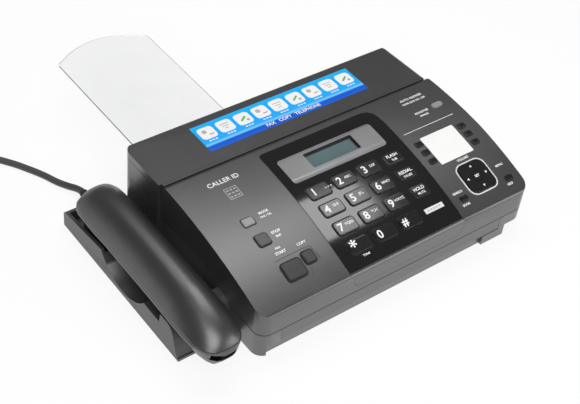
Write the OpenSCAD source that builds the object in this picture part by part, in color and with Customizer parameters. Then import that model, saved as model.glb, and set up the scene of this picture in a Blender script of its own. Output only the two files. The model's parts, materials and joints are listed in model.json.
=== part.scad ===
// Desktop fax machine: body with two hinged covers, thermal paper roll, keypad and corded handset.
// Millimetres. +X is the user's right, +Y the back and +Z up, and the front face looks along -Y.
// The origin is at the middle of the whole machine's footprint, on the surface it stands on.

/* [Body] */
// Width of the body, without the handset cradle
body_w = 297; // [292:1:304]
// Depth of the body, from the front face to the back of the top
body_d = 204; // [200:1:212]
// Height of the top over the surface
body_h = 77; // [76:1:82]
// Wall thickness of the casings
wall = 2.5; // [2:0.1:3]
// Radius of the body's upright corners
corner_r = 11; // [8:1:14]
// How far the right side draws in towards the back
taper = 5; // [3:0.5:6]
// How far the rear block stands out beyond the panel on the left
rear_out = 2.5; // [2:0.5:3]
// Radius of the operation panel's curve
arc_r = 424; // [400:1:460]
// Distance from the back of the top to the crest of that curve
arc_back = 50; // [48:1:52]
// Height of the part line between base and covers at the front
part_z = 26; // [25:0.5:28]
// How much higher the part line runs at the sides
part_rise = 13; // [11:0.5:14]
// Height of the rubber feet
foot_h = 1.5; // [1:0.1:2]
// Height of the set-back plinth along the front
plinth_h = 12.5; // [11:0.5:14]
// How far the plinth is set back
plinth_in = 3; // [2:0.5:4]
// Depth of the step low down at the back
shelf_d = 11; // [10:1:16]
// Height of that step
shelf_h = 32; // [28:1:36]
// Gap between neighbouring casings
gap = 0.4; // [0.3:0.05:0.5]

/* [Covers] */
// Distance from the back of the top to the seam between the two covers
cover_split = 57; // [56:1:58]
// Height of the roll cover's edge
skirt_h = 7; // [6:0.5:8]
// Radius of the operation panel's rear edge, about its hinge
hinge_r = 6.5; // [6.2:0.1:7]
// Radius of both covers' hinge pins
pin_r = 1.5; // [1.2:0.1:1.6]
// Length of a hinge pin
pin_l = 8; // [7:0.5:9]
// Radial clearance of pins and shafts in their holes
run = 0.05; // [0.02:0.01:0.08]

/* [Centre panel] */
// Width of the field with the mode, stop, start and copy keys
left_field = 90; // [89:1:92]
// Width of the field with the card and the station keys
right_field = 81; // [80:1:82]
// Thickness of the gloss panel
gloss_t = 1.6; // [1.4:0.1:1.8]
// Distance from the seam to the gloss panel
gloss_back = 12; // [11:0.5:13]
// How much narrower the lip is that the panel is lifted by
lip_in = 4; // [3:1:8]
// Height of the lip's lower edge over the part line
lip_up = 6.5; // [5:0.5:8]
// Room beside the silver display frame, both sides together
bezel_in = 23; // [20:1:28]
// Depth of the display frame
bezel_d = 28; // [26:0.5:30]
// Room beside the display window, both sides together
window_in = 50; // [44:1:52]
// Depth of the display window
window_d = 17.5; // [16:0.5:20]

/* [Keys] */
// Room between neighbouring dial keys, side to side
key_space = 6.2; // [5.5:0.1:7]
// Depth of a dial key
key_d = 12.8; // [12:0.2:14]
// Distance between the dial key rows
pitch_y = 19.2; // [18.5:0.1:20]
// Height of a key over the panel
key_up = 1.4; // [1.2:0.1:2]
// How far a key can be pressed
key_travel = 1.1; // [0.8:0.1:1.2]
// Gap around a key
key_gap = 0.35; // [0.3:0.05:0.5]
// Thickness of the flange that holds a key under its panel
flange_t = 1; // [0.8:0.1:1.2]

/* [Handset and cradle] */
// Width of the handset cradle, left of the body
cradle_w = 55; // [54:1:60]
// Length of the handset
handset_l = 205; // [200:1:210]
// Width of the handset at its ends
handset_w = 46; // [44:1:48]
// How far the handset's mouth end stands over the front
handset_out = 5; // [4:1:8]
// How far the handset stands over the cradle's side
handset_over = 2; // [1:0.5:3]
// Height of the cradle's outer wall at the back
cradle_h = 19; // [17:1:22]
// Height of the rest under the handset's grip
rest_h = 32; // [30:1:33]
// Radius of the finger scoop in the outer wall
scoop_r = 40; // [38:1:42]

/* [Paper and drive] */
// Diameter of a full paper roll
roll_d = 50; // [46:1:50]
// Width of the paper roll
roll_w = 216; // [210:1:216]
// Diameter of the roll's core
core_d = 13; // [12:1:26]
// Radius of the rubber rollers
roller_r = 8; // [7:0.5:8.5]
// Radius of the roller shafts
shaft_r = 3; // [2.5:0.5:3.5]
// Gear module
gear_m = 1; // [1:0.1:1.1]
// Teeth of the two roller gears
gear_n = 30; // [28:2:30]
// Teeth of the motor pinion
pinion_n = 12; // [12:1:14]
// Width of the gears
gear_w = 6; // [5:0.5:7]
// Diameter of the drive motor
motor_d = 32; // [28:1:34]

/* [Paper tray] */
// Width of the clear tray
tray_w = 97; // [90:1:100]
// How far the tray reaches behind the body
tray_out = 165; // [150:1:170]
// Thickness of the tray
tray_t = 1.6; // [1.4:0.1:2]
// Height of the tray over the surface
tray_z = 58; // [56:1:60]
// Length of the tongues that plug into the body
tongue_l = 7; // [6:0.5:7]

/* [Mains lead] */
// Diameter of the lead
lead_d = 6.4; // [6.4:0.1:6.6]
// Turns in the coil of spare lead
coil_turns = 5; // [4:1:6]

/* [Hidden] */

// Places of the main faces
left_x = handset_over + cradle_w - (handset_over + cradle_w + body_w) / 2;
right_x = left_x + body_w;
cradle_x = left_x - cradle_w;
mid_x = (left_x + right_x) / 2;
front_y = handset_out - (handset_out + body_d + tray_out) / 2;
back_y = front_y + body_d;
seam_y = back_y - cover_split;
arc_y = back_y - arc_back;
taper_y = front_y + 71;
rear_x = left_x - rear_out;
block_z = 24;
shelf_y = back_y + shelf_d;
side_z = part_z + part_rise;
rear_z = body_h - skirt_h;
through = 2 * body_h;

// Shared outlines. arc_points runs round a circle; round_rect is a rectangle with round corners.
function arc_points(cx, cy, r, a0, a1, n) =
    [for (i = [0:n]) let (a = a0 + (a1 - a0) * i / n) [cx + r * cos(a), cy + r * sin(a)]];
function round_rect(x0, y0, x1, y1, r, n = 4) = concat(
    arc_points(x1 - r, y0 + r, r, -90, 0, n), arc_points(x1 - r, y1 - r, r, 0, 90, n),
    arc_points(x0 + r, y1 - r, r, 90, 180, n), arc_points(x0 + r, y0 + r, r, 180, 270, n));

// Right side, which draws in behind taper_y, and the plan of the body. y0 is its front.
function side_x(y) = right_x - taper * max(0, y - taper_y) / (back_y - taper_y);
function body_plan(inset, y0) = concat(
    arc_points(right_x - corner_r, y0 + corner_r, corner_r - inset, -90, 0, 8),
    [[right_x - inset, taper_y]],
    arc_points(side_x(back_y) - corner_r, back_y - corner_r, corner_r - inset, 0, 90, 8),
    arc_points(left_x + corner_r, back_y - corner_r, corner_r - inset, 90, 180, 8),
    arc_points(left_x + corner_r, y0 + corner_r, corner_r - inset, 180, 270, 8));
// Plan of the rear block, which also stands out on the left. y0 is its front.
function rear_plan(inset, y0) = concat([[rear_x + inset, y0], [side_x(y0) - inset, y0]],
    arc_points(side_x(back_y) - corner_r, back_y - corner_r, corner_r - inset, 0, 90, 8),
    arc_points(rear_x + corner_r, back_y - corner_r, corner_r - inset, 90, 180, 8));

// Height and slope of the operation panel at a place y
function top_z(y) = y > arc_y ? body_h : body_h - arc_r + sqrt(arc_r * arc_r - pow(y - arc_y, 2));
function tilt(y) = y > arc_y ? 0 : asin((arc_y - y) / arc_r);

// Part line at the sides: level along the front, then rising in an easy curve
rise_y0 = front_y + 8;
rise_y1 = front_y + 66;
function ease(t) = t < 0 ? 0 : t > 1 ? 1 : t * t * (3 - 2 * t);
function part_at(y) = part_z + part_rise * ease((y - rise_y0) / (rise_y1 - rise_y0));
part_curve = [for (i = [0:8]) let (y = rise_y0 + (rise_y1 - rise_y0) * i / 8) [y, part_at(y)]];

// Extrudes an outline drawn in (y, z) along X, from x0 to x1
module along_x(x0, x1) {
    translate([x0, 0, 0]) rotate([90, 0, 90]) linear_extrude(x1 - x0) children();
}
module prism(points, z0, z1) {
    translate([0, 0, z0]) linear_extrude(z1 - z0) polygon(points);
}
module rod_x(x0, x1, y, z, r) {
    translate([x0, y, z]) rotate([0, 90, 0]) cylinder(h = x1 - x0, r = r, $fn = 48);
}
module box(x0, x1, y0, y1, z0, z1) {
    translate([x0, y0, z0]) cube([x1 - x0, y1 - y0, z1 - z0]);
}
// Puts a piece on the panel at (x, y), with its own Z along the panel's normal
module on_panel(x, y) {
    translate([x, y, top_z(y)]) rotate([tilt(y), 0, 0]) children();
}

// ---- Base ----
plinth_x0 = left_x + 8;
plinth_x1 = right_x - 49;
under_x = right_x - 22;
under_z = plinth_h + 1;
strip_x0 = left_x + 21.5;
shelf_x = left_x + 24;
strip_x1 = right_x - 30;
strip_t = 2;
cheek_t = 3;
cheek_l = mid_x - roll_w / 2 - 1 - cheek_t;
cheek_r = mid_x + roll_w / 2 + 1;
floor_z = foot_h + wall;
roll_r = roll_d / 2;
roll_y = seam_y + gap + wall + 0.6 + 25;
roll_z = floor_z + 8 + roll_r;
platen_y = seam_y - 11;
platen_z = 44;
feed_y = platen_y - gear_m * gear_n;
gear_x = cheek_l - 2 - gear_w;
pinion_z = platen_z - gear_m * (gear_n + pinion_n) / 2;
motor_x = gear_x - 2;
post_y = 21;
roof_t = gloss_t + 1.6;
panel_hinge_y = seam_y - gap / 2 - hinge_r;
panel_hinge_z = top_z(panel_hinge_y) - hinge_r;
hinge_x1 = side_x(panel_hinge_y);
ear_x = left_x + wall + 4;
ear_t = 3;
ear_r = hinge_r - roof_t - gap;
cover_hinge_y = back_y - 3.5;
cover_hinge_z = rear_z - 4;
lug_w = 12;
lug_x = [mid_x - 85, mid_x + 85];
boss_w = 5;
boss_r = 3.5;
latch_y0 = seam_y + 11;
latch_y1 = latch_y0 + 35;
latch_z0 = 31;
latch_z1 = 50;
latch_travel = 2;
pocket_x = tray_w / 2 - 16;
tray_x = left_x + 17 + tray_w / 2;
tongue_w = 18;
deck_z = part_z + 1;
deck_y1 = feed_y - 11;
sensor_d = 18;
sensor_z1 = platen_z - roller_r - 0.1;
head_t = 3;
jack_x = [left_x + 30, left_x + 52];
jack_w = 12;
jack_h = 10;
jack_d = 12;

// Outer side view of the base, under the part line and the roll cover's edge
base_profile = concat([[back_y, foot_h], [front_y, foot_h], [front_y, part_z]], part_curve,
    [[seam_y + gap / 2, side_z], [seam_y + gap / 2, rear_z - gap], [back_y, rear_z - gap]]);

module base_shell() {
    difference() {
        union() {
            intersection() {
                prism(body_plan(0, front_y), 0, body_h);
                along_x(left_x - 1, right_x + 1) polygon(base_profile);
            }
            // Left side of the rear block
            intersection() {
                prism(rear_plan(0, seam_y + gap / 2), block_z, rear_z - gap);
                box(rear_x, left_x + corner_r, seam_y, back_y, block_z, rear_z);
            }
            box(shelf_x, under_x, back_y - corner_r, shelf_y, foot_h, shelf_h);
        }
        box(rear_x + wall, left_x + wall + 1, seam_y + gap / 2 + wall, back_y - corner_r + 3,
            block_z + wall, through);
        intersection() {
            prism(body_plan(wall, front_y + plinth_in), 0, through);
            union() {
                box(left_x, under_x - wall, front_y, back_y, floor_z, through);
                box(left_x, right_x, front_y, back_y, under_z + wall, through);
            }
        }
        box(shelf_x + wall, under_x - wall, back_y - corner_r, shelf_y - wall, floor_z, shelf_h - wall);
        along_x(rear_x - 1, left_x + wall) polygon(latch_outline(gap));
        box(plinth_x0, plinth_x1, front_y - 1, front_y + plinth_in, -1, plinth_h);
        box(under_x, right_x + 1, front_y - 1, shelf_y + 1, -1, under_z);
        box(strip_x0 - gap / 2, strip_x1 + gap / 2, front_y - 1, front_y + strip_t, plinth_h - 1,
            part_z + 1);
        // Slanted edge along the back, for the swing of the roll cover
        along_x(rear_x - 1, right_x + 1) translate([cover_hinge_y, cover_hinge_z])
            polygon([[0.9, 3.7], [3.6, 1.4], [6, 1.4], [6, 9], [0.9, 9]]);
    }
}

module side_cheek(x) {
    along_x(x, x + cheek_t) polygon([[feed_y - 13, floor_z - 0.5], [feed_y - 13, 50],
        [feed_y - 8, 56], [seam_y - 2, 56], [seam_y + 6, rear_z - 4], [back_y - wall + 0.5, rear_z - 4],
        [back_y - wall + 0.5, floor_z - 0.5]]);
}

module base_housing() {
    color([0.27, 0.27, 0.28]) difference() {
        union() {
            base_shell();
            side_cheek(cheek_l);
            side_cheek(cheek_r);
            // Bulkhead in front of the roll, open in the middle for the paper
            difference() {
                box(left_x + 1, side_x(seam_y) - 1, seam_y + gap / 2, seam_y + gap / 2 + wall,
                    floor_z - 0.5, rear_z - gap);
                box(cheek_l + cheek_t, cheek_r, seam_y, seam_y + 5, 30, 60);
                box(left_x + 5, gear_x, seam_y, seam_y + 5, floor_z, pinion_z + motor_d / 2 + 2);
                box(gear_x - 1, cheek_l, seam_y, seam_y + 5, floor_z, platen_z + gear_m * gear_n / 2 + 2);
                box(under_x, right_x, seam_y, seam_y + 5, 0, under_z + 1);
            }
            // Ribs that the roll lies in
            for (i = [-2:2])
                difference() {
                    box(mid_x + i * 45 - 1.5, mid_x + i * 45 + 1.5, seam_y + 2, back_y - wall + 0.5,
                        floor_z - 0.5, roll_z - 8);
                    rod_x(mid_x - roll_w, mid_x + roll_w, roll_y, roll_z, roll_r + 0.3);
                }
            // Deck that the pages slide over, down to the slot in the front
            along_x(cheek_l + 1, cheek_r + cheek_t - 1) polygon([[front_y + strip_t + 2, deck_z - 3],
                [front_y + strip_t + 2, deck_z - 1], [front_y + 22, deck_z - 1], [deck_y1, deck_z + 6],
                [deck_y1, deck_z + 4], [front_y + 22, deck_z - 3]]);
            for (x = [cheek_l + 1, cheek_r])
                box(x, x + 2, front_y + strip_t + 2, deck_y1, floor_z - 0.5, deck_z - 2);
            // Ears for the panel's hinge pins
            for (side = [0, 1]) {
                x = side == 0 ? ear_x : hinge_x1 - (ear_x - left_x) - ear_t;
                rod_x(x, x + ear_t, panel_hinge_y, panel_hinge_z, ear_r);
                box(x, x + ear_t, panel_hinge_y - ear_r, panel_hinge_y + 1.5, panel_hinge_z - 20,
                    panel_hinge_z);
                box(x, x + ear_t, panel_hinge_y - ear_r, seam_y + 2, panel_hinge_z - 20,
                    panel_hinge_z - 7);
            }
            // Bosses for the roll cover's hinge pins
            for (x = lug_x, side = [-1, 1]) {
                x0 = x + side * (lug_w / 2 + gap + boss_w / 2) - boss_w / 2;
                rod_x(x0, x0 + boss_w, cover_hinge_y, cover_hinge_z, boss_r);
                box(x0, x0 + boss_w, cover_hinge_y - boss_r, back_y, cover_hinge_z - 9, cover_hinge_z);
            }
            // Posts that carry the motor
            for (side = [-1, 1])
                rod_x(motor_x, cheek_l + 0.5, platen_y + side * post_y, pinion_z, 3);
            // Guide of the release latch's stem
            box(guide_x, guide_x + 2, latch_mid_y - 6, latch_mid_y + 6, floor_z - 0.5, latch_mid_z + 5);
            // Housings of the two telephone jacks
            for (x = jack_x)
                box(x - 1.5, x + jack_w + 1.5, shelf_y - jack_d - 1.5, shelf_y - 1, 8.5, 11.5 + jack_h);
            // Pockets for the tray's tongues
            for (side = [-1, 1])
                box(tray_x + side * pocket_x - tongue_w / 2 - 2, tray_x + side * pocket_x + tongue_w / 2 + 2,
                    back_y - wall - tongue_l - 1, back_y - wall + 0.5, tray_z - 2, tray_z + tray_t + 2);
            // Seats under the print head and the sensor bar
            for (x = [cheek_l + 15, cheek_r - 20]) {
                box(x, x + 8, platen_y - 9, platen_y + 9, floor_z - 0.5, floor_z + 4);
                box(x, x + 8, feed_y - 6, feed_y + 6, floor_z - 0.5, sensor_z1 - 12);
            }
            // Posts under the main board
            for (x = [mid_x - 85, mid_x + 85], y = [front_y + 24, front_y + 74])
                translate([x, y, floor_z - 0.5]) cylinder(h = 5, r = 3, $fn = 24);
        }
        for (x = [cheek_l, cheek_r]) {
            rod_x(x - 1, x + cheek_t + 1, platen_y, platen_z, shaft_r + run);
            rod_x(x - 1, x + cheek_t + 1, feed_y, platen_z, shaft_r + run);
        }
        rod_x(left_x + wall, hinge_x1 - wall, panel_hinge_y, panel_hinge_z, pin_r + run);
        for (x = lug_x) {
            rod_x(x - lug_w / 2 - boss_w + 1, x + lug_w / 2 + boss_w - 1, cover_hinge_y, cover_hinge_z,
                pin_r + run);
            box(x - lug_w / 2 - gap, x + lug_w / 2 + gap, back_y - 8, back_y + 1, cover_hinge_z - 4.5,
                body_h);
        }
        for (side = [-1, 1])
            box(tray_x + side * pocket_x - tongue_w / 2 - 0.3, tray_x + side * pocket_x + tongue_w / 2 + 0.3,
                back_y - wall - tongue_l - 0.3, back_y + 1, tray_z - 0.15, tray_z + tray_t + 0.15);
        rod_x(guide_x - 1, guide_x + 3, latch_mid_y, latch_mid_z, stem_r + run);
        for (x = jack_x)
            box(x, x + jack_w, shelf_y - jack_d, shelf_y + 1, 10, 10 + jack_h);
    }
}

function latch_outline(grow) = [[latch_y0 - grow, latch_z0 - grow], [latch_y1 + grow, latch_z0 - grow],
    [latch_y1 - 3 + grow, latch_z1 + grow], [latch_y0 + 8 - grow, latch_z1 + grow]];

module front_strip() {
    color([0.3, 0.3, 0.31]) {
        box(strip_x0, strip_x1, front_y, front_y + strip_t, plinth_h, part_z);
    }
}

module rubber_feet() {
    color([0.08, 0.08, 0.08])
        for (x = [left_x + 22, under_x - 18], y = [front_y + 22, back_y - 16])
            translate([x, y, 0]) cylinder(h = foot_h, r = 8, $fn = 32);
}

// ---- Handset cradle ----
cradle_y0 = front_y + 32.5;
cradle_y1 = shelf_y;
cradle_t = 3;
handset_x = cradle_x - handset_over + handset_w / 2;
nose_y = front_y - handset_out;
ear_y = nose_y + handset_l - 26;
mouth_y = nose_y + 25;
ear_r_cap = 16;
mouth_r_cap = 11;
cap_t = 1.5;
seat_gap = 0.3;
ear_bottom = rest_h - 10;
mouth_bottom = rest_h - 15;
grip_bottom = rest_h + seat_gap;
plunger_r = 3;
plunger_y = cradle_y0 + 23;
relief_r = 4.5;
relief_l = 20;
lead_r = lead_d / 2;
lead_x = handset_x + 10;
lead_z = 8.5;

land_y0 = cradle_y0 + 45;
land_y1 = cradle_y0 + 117;
module scoop(grow) {
    translate([cradle_y0 + 84.5, foot_h + 4.5 + scoop_r]) circle(scoop_r + grow, $fn = 64);
}
cradle_front = [for (p = [[0, 0], [4.5, 9], [7, 17], [9.5, 25], [13, 30], [17.5, 32]])
    [cradle_y0 + p[0], foot_h + p[1] * (rest_h - foot_h) / 32]];

module handset_cradle() {
    color([0.25, 0.25, 0.26]) difference() {
        union() {
            box(cradle_x, left_x, cradle_y0, cradle_y1, foot_h, foot_h + cradle_t);
            // Outer wall, with its scooped edge
            along_x(cradle_x, cradle_x + cradle_t) difference() {
                polygon(concat(cradle_front, [[cradle_y0 + 28.5, cradle_h + 3],
                    [land_y0, cradle_h + 3], [land_y1, cradle_h + 7],
                    [cradle_y1 - 9, cradle_h], [cradle_y1 - 3, cradle_h], [cradle_y1, cradle_h - 3],
                    [cradle_y1, foot_h]]));
                scoop(0);
            }
            // Hollow land behind it, which goes on the scoop's curve under the grip
            along_x(cradle_x + 1, left_x - 11) difference() {
                polygon([[cradle_y0 + 31, foot_h + 1], [cradle_y0 + 31, cradle_h + 3],
                    [land_y0, cradle_h + 3], [land_y1, cradle_h + 7], [land_y1, foot_h + 1]]);
                scoop(0);
                difference() {
                    polygon([[cradle_y0 + 31 + wall, 0], [cradle_y0 + 31 + wall, cradle_h + 3 - wall],
                        [land_y0, cradle_h + 3 - wall], [land_y1 - wall, cradle_h + 7 - wall],
                        [land_y1 - wall, 0]]);
                    scoop(wall);
                }
            }
            box(cradle_x, left_x, cradle_y1 - cradle_t, cradle_y1, foot_h, cradle_h - 3);
            // Rest across the front, which the grip lies on
            along_x(cradle_x, left_x) polygon(concat(cradle_front, [[cradle_y0 + 28, rest_h],
                [cradle_y0 + 32, foot_h]]));
            // Pedestal under the ear end
            box(handset_x - 15, handset_x + 15, ear_y - 17, ear_y + 17, foot_h, ear_bottom - seat_gap);
            // Bed along the body's side
            box(left_x - 12, left_x, cradle_y0 + 20, cradle_y1, foot_h, 16);
        }
        translate([handset_x, plunger_y, foot_h + 0.8]) cylinder(h = rest_h, r = plunger_r + run, $fn = 32);
        translate([lead_x, cradle_y1 + 1, lead_z]) rotate([90, 0, 0])
            cylinder(h = cradle_t + 2, r = relief_r + 0.1, $fn = 48);
    }
}

module hook_plunger() {
    color([0.15, 0.15, 0.16]) translate([handset_x, plunger_y, foot_h + 4])
        cylinder(h = rest_h - 0.8 - foot_h - 4, r = plunger_r, $fn = 32);
}

// ---- Roll cover ----
cover_y0 = seam_y + gap / 2;
lug_r = 3.4;
edge_r = 7;

guide_x = left_x + 15;
latch_mid_y = (latch_y0 + latch_y1) / 2;
latch_mid_z = (latch_z0 + latch_z1) / 2;
stem_r = 2;
hook_x = left_x + wall + 3;
catch_z = 60;

module cover_form(inset) {
    intersection() {
        prism(rear_plan(inset, cover_y0 + inset), -1, body_h - inset);
        along_x(rear_x, right_x) polygon(concat([[cover_y0, inset > 0 ? -1 : rear_z],
            [back_y, inset > 0 ? -1 : rear_z]],
            arc_points(back_y - 3, body_h - 3, 3, 0, 90, 5), [[cover_y0, body_h]]));
        // Soft edge along the right
        translate([side_x(back_y), back_y, 0]) rotate([90, 0, atan(taper / (back_y - taper_y))])
            translate([0, 0, -30]) linear_extrude(back_y - seam_y + 60) polygon(concat(
                [[-1.2 * body_w, -1], [-inset, -1]],
                arc_points(-edge_r, body_h - edge_r, edge_r - inset, 0, 90, 5),
                [[-1.2 * body_w, body_h - inset]]));
    }
}

module rear_cover() {
    color([0.22, 0.22, 0.23]) {
        difference() {
            cover_form(0);
            cover_form(wall);
        }
        for (x = lug_x) {
            rod_x(x - lug_w / 2, x + lug_w / 2, cover_hinge_y, cover_hinge_z, lug_r);
            box(x - lug_w / 2, x + lug_w / 2, cover_hinge_y - lug_r, cover_hinge_y + lug_r,
                cover_hinge_z, rear_z + 1);
            box(x - lug_w / 2, x + lug_w / 2, cover_hinge_y - lug_r, cover_hinge_y - lug_r + wall,
                rear_z, body_h - wall + 0.5);
            rod_x(x - lug_w / 2 - boss_w + 1.3, x + lug_w / 2 + boss_w - 1.3, cover_hinge_y,
                cover_hinge_z, pin_r);
        }
        // Hook beside the release latch's catch
        box(hook_x, hook_x + 2, latch_mid_y - 4, latch_mid_y + 4, catch_z - 2.5, body_h - wall + 0.5);
        box(hook_x, hook_x + 3.5, latch_mid_y - 4, latch_mid_y + 4, catch_z - 2.5, catch_z - 0.5);
        // Ribs that stiffen the top
        for (i = [-2:2])
            box(mid_x + i * 50 - 1, mid_x + i * 50 + 1, cover_y0 + wall - 0.5, back_y - 12,
                body_h - wall - 3, body_h - wall + 0.5);
    }
}

module cover_latch() {
    color([0.3, 0.3, 0.31]) {
        along_x(rear_x, rear_x + wall + 0.2) polygon(latch_outline(0));
        along_x(rear_x + wall + 0.2, rear_x + wall + 1.4) polygon(latch_outline(gap + 1));
        rod_x(rear_x + wall + 1, guide_x + 2.5, latch_mid_y, latch_mid_z, stem_r);
        // Arm with the catch for the cover's hook
        box(hook_x + 4, hook_x + 6, latch_mid_y - 4, latch_mid_y + 4, latch_mid_z - 3, catch_z + 2);
        box(hook_x + 3.8, hook_x + 6, latch_mid_y - 4, latch_mid_y + 4, catch_z, catch_z + 2);
    }
}

// ---- Operation panel ----
fillet_r = 4;
fillet_z = body_h - arc_r + sqrt(pow(arc_r - fillet_r, 2) - pow(front_y + fillet_r - arc_y, 2));
fillet_tilt = asin((arc_y - front_y - fillet_r) / (arc_r - fillet_r));
gloss_x0 = left_x + left_field;
gloss_x1 = right_x - right_field;
gloss_w = gloss_x1 - gloss_x0;
pitch_x = 0.22 * gloss_w;
key_w = pitch_x - key_space;
bezel_w = gloss_w - bezel_in;
window_w = bezel_w - window_in;
gloss_y1 = seam_y - gloss_back;
gloss_cut = 12;
lip_x1 = gloss_x1 + 1;
lip_x0 = gloss_x0 + 1 + lip_in;
bezel_x = gloss_x0 + 9 + bezel_w / 2;
bezel_y = seam_y - 26 - bezel_d / 2;
bezel_t = 0.8;
window_x = gloss_x0 + 35 + window_w / 2;
window_y = bezel_y + 2;
card_x0 = right_x - 64;
card_x1 = right_x - 25;
card_y1 = seam_y - 62.5;
card_y0 = card_y1 - 32;
card_t = 0.5;
board_y = seam_y - 82;
board_l = 116;
board_drop = 10.6;
board_t = 1.6;
board_x = [left_x + 25, right_x - 14];

// Side views in (y, z). curve_line is the panel's curve lowered by drop, from the front to the rear.
curve_n = 28;
curve_end = asin((arc_y - front_y + 3) / arc_r);
function curve_point(drop, a) = [arc_y - (arc_r - drop) * sin(a), body_h - arc_r + (arc_r - drop) * cos(a)];
hinge_tilt = tilt(panel_hinge_y);
function curve_line(drop) = [for (i = [curve_n:-1:0])
    curve_point(drop, hinge_tilt + (curve_end - hinge_tilt) * i / curve_n)];
swing_r = panel_hinge_z - side_z - gap;
outer_view = concat([[front_y, part_z + gap]],
    arc_points(front_y + fillet_r, fillet_z, fillet_r, 180, 90 + fillet_tilt, 6),
    [for (p = curve_line(0)) if (p[0] > front_y + fillet_r + 1) p],
    [for (a = [75:-15:0]) [panel_hinge_y + hinge_r * cos(a), panel_hinge_z + hinge_r * sin(a)]],
    arc_points(panel_hinge_y, panel_hinge_z, swing_r, -acos(hinge_r / swing_r), -90, 3),
    [for (i = [len(part_curve) - 1:-1:0]) [part_curve[i][0], part_curve[i][1] + gap]]);
inner_view = concat([[front_y + wall, -1]],
    [for (p = curve_line(roof_t)) if (p[0] > front_y + wall + 0.2 && p[0] < panel_hinge_y - 0.5) p],
    arc_points(panel_hinge_y, panel_hinge_z, hinge_r - roof_t, 90, 0, 6),
    [[seam_y + 1, panel_hinge_z], [seam_y + 1, -1]]);

// Plan of the panel's casing, with round corners at the front
function panel_plan(inset) = concat(
    arc_points(right_x - corner_r, front_y + corner_r, corner_r - inset, -90, 0, 8),
    [[right_x - inset, taper_y], [side_x(seam_y + 2) - inset, seam_y + 2], [left_x + inset, seam_y + 2]],
    arc_points(left_x + corner_r, front_y + corner_r, corner_r - inset, 180, 270, 8));

module panel_solid() {
    intersection() {
        prism(panel_plan(0), -1, body_h + 1);
        along_x(left_x - 1, right_x + 1) polygon(outer_view);
    }
}

// A sheet that follows the panel's curve, between two depths under it
module curved_sheet(points, top, bottom) {
    intersection() {
        prism(points, part_z, body_h + 10);
        along_x(left_x - 1, right_x + 1) polygon(concat(curve_line(top), [for (i = [curve_n:-1:0])
            curve_line(bottom)[i]]));
    }
}

// Dial keys stand in a grid; the other keys are listed as [x, y, width, depth, corner radius]
function dial_x(col) = gloss_x0 + 0.181 * gloss_w + col * pitch_x;
function dial_y(row) = seam_y - 69.3 - row * pitch_y;
function dial_key(col, row) = [dial_x(col), dial_y(row), key_w, key_d, 2.5];
function function_key(row) = [gloss_x0 + 0.837 * gloss_w, dial_y(row), 0.143 * gloss_w, 11, 2.5];
mode = [left_x + 40, seam_y - 68.6, 10.5, 7.5, 1.2];
stop = [left_x + 40.8, seam_y - 88.4, 11.5, 11, 2];
start = [left_x + 48.8, seam_y - 121.6, 18.6, 16, 2.5];
copy = [left_x + 66.9, seam_y - 117.3, 10.2, 11, 2];
volume = [right_x - 21, seam_y - 36.9, 12.4, 6, 2.9];
pad = [right_x - 41.5, seam_y - 117.5, 30, 30, 7];
pad_set = [pad[0], pad[1], 9.5, 9.5, 3];
left_pad = [right_x - 67.5, seam_y - 130, 8, 5, 1.2];
right_pad = [right_x - 13.2, seam_y - 131, 8, 5, 1.2];
function station(col, row) = [right_x - (col == 0 ? 69.3 : 17.4), seam_y - 67.8 - row * 10, 8, 5.5, 1.2];

gloss_keys = concat([for (row = [0:3], col = [0:2]) dial_key(col, row)],
    [for (row = [0:2]) function_key(row)]);
side_keys = concat([mode, stop, start, copy, volume, pad, left_pad, right_pad],
    [for (col = [0, 1], row = [0:2]) station(col, row)]);

module key_holes(keys) {
    for (k = keys)
        on_panel(k[0], k[1]) translate([0, 0, -roof_t - 2]) linear_extrude(roof_t + 5)
            polygon(round_rect(-k[2] / 2 - key_gap, -k[3] / 2 - key_gap, k[2] / 2 + key_gap,
                k[3] / 2 + key_gap, k[4] + key_gap, 3));
}

// Key cap with the flange that keeps it under the panel
module key(k, up = key_up) {
    flange_z = -roof_t - 0.15 - pow(k[3] / 2 + 1, 2) / (2 * arc_r);
    on_panel(k[0], k[1]) {
        translate([0, 0, flange_z - 0.1]) linear_extrude(up - flange_z + 0.1 - 0.5)
            polygon(round_rect(-k[2] / 2, -k[3] / 2, k[2] / 2, k[3] / 2, k[4], 3));
        translate([0, 0, up - 0.5]) linear_extrude(0.5)
            polygon(round_rect(-k[2] / 2 + 0.5, -k[3] / 2 + 0.5, k[2] / 2 - 0.5, k[3] / 2 - 0.5,
                k[4] - 0.5, 3));
        translate([0, 0, flange_z - flange_t]) linear_extrude(flange_t)
            polygon(round_rect(-k[2] / 2 - 0.9, -k[3] / 2 - 0.9, k[2] / 2 + 0.9, k[3] / 2 + 0.9,
                k[4], 3));
    }
}

function gloss_outline(g) = [[gloss_x0 - g, front_y - 1], [gloss_x1 + g, front_y - 1],
    [gloss_x1 + g, gloss_y1 - gloss_cut], [gloss_x1 - 1.5 + g, gloss_y1 - 6],
    [gloss_x1 - 5 + g, gloss_y1 - 2 + g], [gloss_x1 - gloss_cut, gloss_y1 + g],
    [gloss_x0 + 4, gloss_y1 + g], [gloss_x0 + 1 - g, gloss_y1 - 1 + g], [gloss_x0 - g, gloss_y1 - 4]];

// Space taken by the gloss panel and its lip, grown sideways by a clearance
module gloss_form(grow) {
    curved_sheet(gloss_outline(grow), -5, gloss_t);
    translate([0, front_y + gloss_t, 0]) rotate([90, 0, 0]) linear_extrude(gloss_t + 2)
        polygon(round_rect(lip_x0 - grow, part_z + lip_up - grow, lip_x1 + grow, fillet_z + 8, 6, 5));
}

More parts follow.
